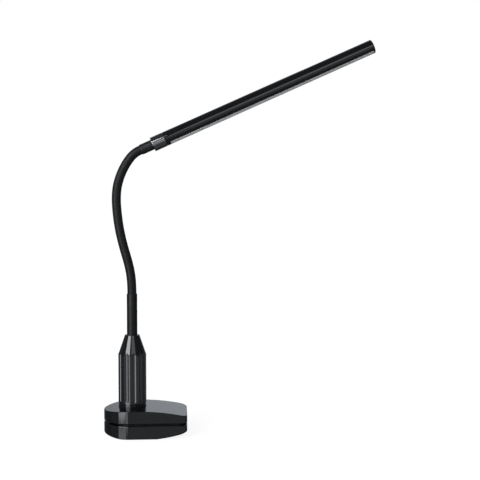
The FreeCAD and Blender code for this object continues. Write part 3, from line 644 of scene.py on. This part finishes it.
def grip_cone():
    """The cone above the grip; the flutes run out through its foot as scallops."""
    top = CONE_HIGH.z
    low = GRIP_TOP + JOINT_LINE
    high = top - CONE_LIP
    spigot_z = GRIP_TOP - CONE_SPIGOT_LEN
    plain_top = high - 0.8 * MM
    hole_edge = 0.3 * MM
    hole_low = top - 2.4 * MM
    cavity_low = GRIP_TOP + 2 * MM

    def side(z):
        return CONE_BASE_R + (CONE_TOP_R - CONE_BASE_R) * (z - low) / (high - low)

    loops = [grip_loop(CONE_BORE_R, spigot_z), grip_loop(CONE_SPIGOT_R, spigot_z),
             grip_loop(CONE_SPIGOT_R, low)]
    for angle in quarter_turn(4)[:-1]:
        height = low + CONE_RIM * (1 - math.cos(angle))
        radius = flute_radius(GRIP_ANGLES, height, side(height)) - CONE_RIM * (1 - math.sin(angle))
        loops.append(grip_loop(radius, height))
    heights = np.concatenate([np.linspace(low + CONE_RIM, low + SCALLOP_TALL, 26),
                              np.linspace(low + SCALLOP_TALL, plain_top, 6)[1:], [high - SUPPORT]])
    loops += [grip_loop(flute_radius(GRIP_ANGLES, z, side(z)), z) for z in heights]
    for angle in quarter_turn(6):
        radius = CONE_TOP_R - CONE_LIP * (1 - math.cos(angle))
        loops.append(grip_loop(radius, high + CONE_LIP * math.sin(angle)))
    loops += [grip_loop(CONE_TOP_R - CONE_LIP - SUPPORT, top), grip_loop(GRIP_HOLE_R + hole_edge, top),
              grip_loop(GRIP_HOLE_R, top - hole_edge), grip_loop(GRIP_HOLE_R, hole_low),
              grip_loop(CONE_BORE_R, cavity_low)]
    skinned("grip_cone_turned", loops, GRIP_LACQUER, "grip", slot="grip_lacquer", replaced=("grip_cone",))


def stem_tube():
    """The stem: plain above, with its thread cut where the open jaws leave it bare."""
    around = 64
    angles = even_turn(around)
    low = LOWER_HIGH.z + THREAD_START
    steps = 296
    fade_steps = 12
    flank_slope = 1.6
    crest = 0.2
    top = STEM_HIGH.z
    root_r = HOSE_R + HOSE_GAP
    root_z = top - ROOT_DEPTH
    foot = [(STEM_BORE_R, STEM_LOW.z), (STEM_FOOT_R, STEM_LOW.z), (STEM_FOOT_R, STEM_SHOULDER),
            (STEM_R, STEM_SHOULDER), (STEM_R, low)]
    loops = [circle(radius, z, around) for radius, z in foot]
    for step in range(steps + 1):
        z = low + (THREAD_TOP - low) * step / steps
        phase = (z / THREAD_PITCH - angles / (2 * math.pi)) % 1.0
        groove = np.clip(flank_slope * (1 - np.abs(2 * phase - 1)) - crest, 0, 1)
        fade = min(1.0, step / fade_steps, (steps - step) / fade_steps)
        loops.append(level_loop(angles, STEM_R - THREAD_DEPTH * fade * groove, z))
    bevel_in = 0.2 * MM
    upper = [(STEM_R, THREAD_TOP + SUPPORT), (STEM_R, top - STEM_BEVEL),
             (STEM_R - bevel_in, top - STEM_BEVEL / 2), (STEM_R - STEM_BEVEL, top),
             (root_r, top), (root_r, root_z), (STEM_BORE_R, root_z)]
    loops += [circle(radius, z, around) for radius, z in upper]
    skinned("stem_tube_turned", loops, STEM_PAINT, "base", slot="stem_paint", replaced=("stem_tube",))


# The gooseneck's centreline: arcs that meet without a kink at the hinges of the frame
HINGES = [joint for name, joint in sorted(JOINTS.items()) if name.startswith("neck_bend_")]
KNOTS = [(0.0, STEM_HIGH.z)] + [(joint["pos_m"][0], joint["pos_m"][2]) for joint in HINGES]


def neck_leans():
    leans = [0.0]
    for (x0, z0), (x1, z1) in zip(KNOTS, KNOTS[1:]):
        chord = math.atan2(x1 - x0, z1 - z0)
        leans.append(2 * chord - leans[-1])
    return leans


LEANS = neck_leans()


def along_arc(segment, share):
    """Point and lean on an arc of the neck, share of the way along it."""
    x0, z0 = KNOTS[segment]
    x1, z1 = KNOTS[segment + 1]
    turn = LEANS[segment + 1] - LEANS[segment]
    chord = math.hypot(x1 - x0, z1 - z0)
    lean = LEANS[segment] + turn * share
    mean = LEANS[segment] + turn * share / 2
    if abs(turn) < 1e-6:
        length = chord * share
    else:
        length = chord * math.sin(turn * share / 2) / math.sin(turn / 2)
    return x0 + length * math.sin(mean), z0 + length * math.cos(mean), lean


def ring_at(x, z, lean, radius):
    angles = even_turn(48)
    across = radius * np.cos(angles)
    return np.stack([x + across * math.cos(lean), radius * np.sin(angles), z - across * math.sin(lean)], 1)


def hose_path(index):
    """Places and leans along the stretch of hose over one hinge."""
    half_steps = 10
    if index == 0:
        path = [(0.0, STEM_HIGH.z - HOSE_INTO_STEM, 0.0)]
        path += [along_arc(0, share) for share in np.linspace(0, 1, 18)]
    else:
        path = [along_arc(index, share) for share in np.linspace(0.5, 1, half_steps)]
    if index < len(HINGES) - 1:
        return path + [along_arc(index + 1, share) for share in np.linspace(0, 0.5, half_steps)[1:]]
    x, z = KNOTS[-1]
    lean = LEANS[-1]
    ahead = np.linspace(0, HOSE_INTO_HEAD, 6)[1:]
    return path + [(x + far * math.sin(lean), z + far * math.cos(lean), lean) for far in ahead]


def hose():
    """The black skin of the gooseneck: one stretch over each hinge, from mid-link to mid-link."""
    links = ["%02d" % number for number in range(1, len(HINGES))]
    nodes = ["neck_root"] + ["neck_link_" + link for link in links]
    for index, joint in enumerate(HINGES):
        path = hose_path(index)
        loops = [ring_at(*place, HOSE_R) for place in path]
        loops += [ring_at(*place, HOSE_BORE_R) for place in reversed(path)]
        replaced = [nodes[index]]
        if index == len(HINGES) - 1:
            replaced.append("neck_tip")
        piece = skinned("hose_skin_%02d" % (index + 1), loops, HOSE_SKIN, None, slot="neck_skin",
                        replaced=replaced)
        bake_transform(piece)


# The head's own frame: its axis along Z from the neck end, its lit side towards +X
HEAD_LEAN = LEANS[-1]
HEAD_X = KNOTS[-1][0] + SLEEVE_LEN * math.sin(HEAD_LEAN)
HEAD_Z = KNOTS[-1][1] + SLEEVE_LEN * math.cos(HEAD_LEAN)
HEAD_MATRIX = Matrix.Translation((HEAD_X, 0, HEAD_Z)) @ Matrix.Rotation(HEAD_LEAN, 4, "Y")
TUBE_Z = TOUCH_LEN + TOUCH_GAP + COLLAR_LEN
TUBE_END = HEAD_LEN - CAP_T


def head_lathe(name, profile, material, slot, replaced, ease, around=96):
    return lathe(name, eased(profile, ease), material, "head", around=around, matrix=HEAD_MATRIX,
                 slot=slot, replaced=replaced)


def head_turned_pieces():
    bore = HOSE_R + HOSE_GAP
    foot = 1.2 * MM - SLEEVE_LEN
    shoulder = 2 * MM - SLEEVE_LEN
    sleeve = [(bore, foot), (SLEEVE_R - 0.3 * MM, foot), (SLEEVE_R, shoulder), (SLEEVE_R, 0), (bore, 0)]
    head_lathe("neck_sleeve_moulded", sleeve, SLEEVE_RUBBER, "black_rubber", ("neck_top_sleeve",),
               ease=0.5 * MM)
    inner = TOUCH_R - TOUCH_WALL
    ring = [(inner, 0), (TOUCH_R, 0), (TOUCH_R, TOUCH_LEN), (inner, TOUCH_LEN)]
    head_lathe("touch_ring_turned", ring, TOUCH_METAL, "touch_metal", ("touch_ring",), ease=0.45 * MM,
               around=128)
    low = TOUCH_LEN + TOUCH_GAP
    collar = [(inner, low), (HEAD_R, low), (HEAD_R, TUBE_Z), (inner, TUBE_Z)]
    head_lathe("collar_moulded", collar, HEAD_PLASTIC, "head_plastic", ("head_collar",), ease=0.15 * MM)
    cap = [(AXIS_R, TUBE_END), (HEAD_R, TUBE_END)]
    for angle in quarter_turn(6):
        cap.append((HEAD_R - CAP_EDGE * (1 - math.cos(angle)), HEAD_LEN - CAP_EDGE * (1 - math.sin(angle))))
    cap.append((AXIS_R, HEAD_LEN))
    lathe("end_cap_moulded", cap, HEAD_PLASTIC, "head", around=96, matrix=HEAD_MATRIX, slot="head_plastic",
          replaced=("end_cap",))


def sector_section(inner, outer, start, end, ease, steps):
    """A closed section: a round wall from one angle to another, in degrees, with eased corners."""
    ease_angle = math.degrees(ease / outer)
    nearly = 0.3
    section = []
    for index in range(steps + 1):
        angle = start + ease_angle + (end - start - 2 * ease_angle) * index / steps
        section.append((outer, angle))
    section += [(outer - ease * nearly, end - ease_angle * nearly), (outer - ease, end), (inner, end)]
    for index in range(1, steps):
        section.append((inner, end + (start - end) * index / steps))
    section += [(inner, start), (outer - ease, start), (outer - ease * nearly, start + ease_angle * nearly)]
    return [(radius * math.cos(math.radians(angle)), radius * math.sin(math.radians(angle)))
            for radius, angle in section]


def extruded(name, section, low, high, material, slot, replaced):
    loops = [[HEAD_MATRIX @ Vector((x, y, z)) for x, y in section] for z in (low, high)]
    return skinned(name, loops, material, "head", closed=False, slot=slot, replaced=replaced)


def head_long_pieces():
    shell = sector_section(HEAD_R - HEAD_WALL, HEAD_R, SLOT_HALF_DEG, 360 - SLOT_HALF_DEG, 0.25 * MM, 96)
    high = TUBE_END - JOINT_LINE
    extruded("head_tube_shell", shell, TUBE_Z + JOINT_LINE, high, HEAD_PAINT, "head_paint", ("head_tube",))
    edge = SLOT_HALF_DEG - DIFFUSER_GAP_DEG
    face_r = HEAD_R - DIFFUSER_SINK
    strip = sector_section(face_r - DIFFUSER_T, face_r, -edge, edge, 0.2 * MM, 48)
    extruded("diffuser_strip", strip, TUBE_Z + DIFFUSER_END_GAP, high, OPAL, "diffuser_opal",
             ("diffuser",))


def studio_floor():
    """Paper that keeps the lamp's shadow and turns white away from it, as the camera sees it."""
    half = 6.0
    level = -0.05 * MM
    kept_shadow = 0.2
    glow_near = 0.88
    glow_far = 1.0
    corners = [(-half, -half, level), (half, -half, level), (half, half, level), (-half, half, level)]
    mesh = bpy.data.meshes.new("floor")
    mesh.from_pydata(corners, [], [(0, 1, 2, 3)])
    floor = bpy.data.objects.new("floor", mesh)
    bpy.context.scene.collection.objects.link(floor)
    floor.visible_glossy = False
    material, nodes, links, principled = shader("floor_paper", Roughness=0.9)
    principled.inputs["Base Color"].default_value = (0.8, 0.8, 0.8, 1)
    place = nodes.new("ShaderNodeTexCoord")
    length = nodes.new("ShaderNodeVectorMath")
    length.operation = "LENGTH"
    whiten = nodes.new("ShaderNodeMapRange")
    whiten.interpolation_type = "SMOOTHSTEP"
    whiten.inputs["From Min"].default_value = 0.25
    whiten.inputs["From Max"].default_value = 1.6
    whiten.inputs["To Min"].default_value = glow_near
    whiten.inputs["To Max"].default_value = glow_far
    glow = nodes.new("ShaderNodeEmission")
    glow.inputs["Color"].default_value = (1, 1, 1, 1)
    links.new(place.outputs["Object"], length.inputs[0])
    links.new(length.outputs["Value"], whiten.inputs["Value"])
    links.new(whiten.outputs["Result"], glow.inputs["Strength"])
    dark = nodes.new("ShaderNodeEmission")
    dark.inputs["Strength"].default_value = 0.0
    dimmed = nodes.new("ShaderNodeMixShader")
    dimmed.inputs[0].default_value = 1 - kept_shadow
    both = nodes.new("ShaderNodeAddShader")
    path = nodes.new("ShaderNodeLightPath")
    chosen = nodes.new("ShaderNodeMixShader")
    links.new(principled.outputs[0], dimmed.inputs[1])
    links.new(dark.outputs[0], dimmed.inputs[2])
    links.new(dimmed.outputs[0], both.inputs[0])
    links.new(glow.outputs[0], both.inputs[1])
    links.new(path.outputs["Is Camera Ray"], chosen.inputs[0])
    links.new(principled.outputs[0], chosen.inputs[1])
    links.new(both.outputs[0], chosen.inputs[2])
    links.new(chosen.outputs[0], nodes["Material Output"].inputs["Surface"])
    mesh.materials.append(material)


def studio_world():
    """White to the camera. To reflections white behind the lamp above its horizon, else dark greys."""
    world = bpy.data.worlds.new("studio")
    bpy.context.scene.world = world
    world.use_nodes = True
    nodes = world.node_tree.nodes
    links = world.node_tree.links
    nodes.clear()
    output = nodes.new("ShaderNodeOutputWorld")
    path = nodes.new("ShaderNodeLightPath")
    place = nodes.new("ShaderNodeTexCoord")
    split = nodes.new("ShaderNodeSeparateXYZ")
    links.new(place.outputs["Generated"], split.inputs[0])

    def ramp(axis, start, end, low, high):
        span = nodes.new("ShaderNodeMapRange")
        span.interpolation_type = "SMOOTHSTEP"
        span.inputs["From Min"].default_value = start
        span.inputs["From Max"].default_value = end
        span.inputs["To Min"].default_value = low
        span.inputs["To Max"].default_value = high
        links.new(split.outputs[axis], span.inputs["Value"])
        return span.outputs["Result"]

    def combined(operation, first, second):
        both = nodes.new("ShaderNodeMath")
        both.operation = operation
        links.new(first, both.inputs[0])
        links.new(second, both.inputs[1])
        return both.outputs[0]

    def product(first, second):
        return combined("MULTIPLY", first, second)

    def total(first, second):
        return combined("ADD", first, second)

    backdrop = product(product(ramp("Y", 0.1, 0.55, 0.0, 1.0), ramp("Z", 0.0, 0.14, 0.0, 0.74)),
                       product(ramp("X", -0.3, 0.0, 0.1, 1.0), ramp("X", 0.18, 0.36, 1.0, 0.05)))
    near_table = product(ramp("Z", -0.02, 0.06, 0.42, 0.0), ramp("Z", -0.45, -0.3, 0.2, 1.0))
    table = product(product(near_table, ramp("X", -0.75, -0.1, 0.4, 1.0)), ramp("Y", -0.2, 0.3, 1.0, 0.3))
    room = ramp("Z", -0.1, 0.1, 0.02, 0.07)
    mirrored = nodes.new("ShaderNodeBackground")
    mirrored.inputs["Color"].default_value = (0.87, 0.925, 1.0, 1)
    links.new(total(total(backdrop, table), room), mirrored.inputs["Strength"])
    soft = nodes.new("ShaderNodeBackground")
    soft.inputs["Strength"].default_value = 0.4
    soft.inputs["Color"].default_value = (1, 1, 1, 1)
    white = nodes.new("ShaderNodeBackground")
    white.inputs["Color"].default_value = (1, 1, 1, 1)
    glossy = nodes.new("ShaderNodeMixShader")
    seen = nodes.new("ShaderNodeMixShader")
    links.new(path.outputs["Is Glossy Ray"], glossy.inputs[0])
    links.new(soft.outputs[0], glossy.inputs[1])
    links.new(mirrored.outputs[0], glossy.inputs[2])
    links.new(path.outputs["Is Camera Ray"], seen.inputs[0])
    links.new(glossy.outputs[0], seen.inputs[1])
    links.new(white.outputs[0], seen.inputs[2])
    links.new(seen.outputs[0], output.inputs["Surface"])


AIM = Vector((0.03, 0, 0.12))


def softbox(name, azimuth, elevation, distance, width, height, radiance):
    """A rectangular light that faces AIM, with its angles in degrees and its sizes in metres. Azimuth
    0 is in front of the lamp and a negative one to its left. A mirror shows radiance 1 as white."""
    a = math.radians(azimuth)
    e = math.radians(elevation)
    away = Vector((math.sin(a) * math.cos(e), -math.cos(a) * math.cos(e), math.sin(e)))
    data = bpy.data.lights.new(name, "AREA")
    data.shape = "RECTANGLE"
    data.color = (0.96, 0.98, 1.0)
    data.size = width
    data.size_y = height
    data.energy = radiance * math.pi * width * height
    lamp = bpy.data.objects.new(name, data)
    bpy.context.scene.collection.objects.link(lamp)
    lamp.location = AIM + away * distance
    lamp.rotation_euler = away.to_track_quat("Z", "Y").to_euler()


def studio_lights():
    softbox("key_high", -41.5, 34, 1.5, 0.95, 0.7, 7.6)
    softbox("key_low", -41, 1.2, 1.5, 0.8, 0.955, 4.5)
    softbox("key_foot", -41, -19.6, 1.5, 0.76, 0.12, 2.0)
    softbox("key_edge", -21.5, 1, 1.5, 0.16, 1.0, 2.4)
    softbox("front_panel", 12, 22.5, 2.2, 1.3, 0.7, 1.25)
    softbox("rear_high", 150, 35, 1.5, 0.9, 0.7, 1.6)
    softbox("rear_edge", 158, 2, 1.5, 0.25, 1.0, 1.2)


# The camera: focal length in pixels of a frame 480 wide, place in millimetres, angles in degrees
FOCAL_PX = 956.0
FRAME_PX = 480.0
CAMERA_AT = (55.44, -1282.83, 325.17)
CAMERA_PITCH = 2.9
CAMERA_TURN = 4.0


def camera():
    data = bpy.data.cameras.new("camera")
    data.sensor_width = 36.0
    data.lens = FOCAL_PX / FRAME_PX * data.sensor_width
    data.clip_end = 50.0
    view = bpy.data.objects.new("camera", data)
    bpy.context.scene.collection.objects.link(view)
    view.location = Vector(CAMERA_AT) * MM
    view.rotation_euler = (math.radians(90 - CAMERA_PITCH), 0, -math.radians(CAMERA_TURN))
    bpy.context.scene.camera = view


camera()
studio_world()
studio_floor()
studio_lights()
dress_frame()
upper_jaw()
lower_jaw()
jaw_pads()
jaw_screws()
thrust_ring()
grip_sleeve()
grip_cone()
stem_tube()
hose()
head_turned_pieces()
head_long_pieces()
bpy.context.scene.view_settings.view_transform = "Standard"
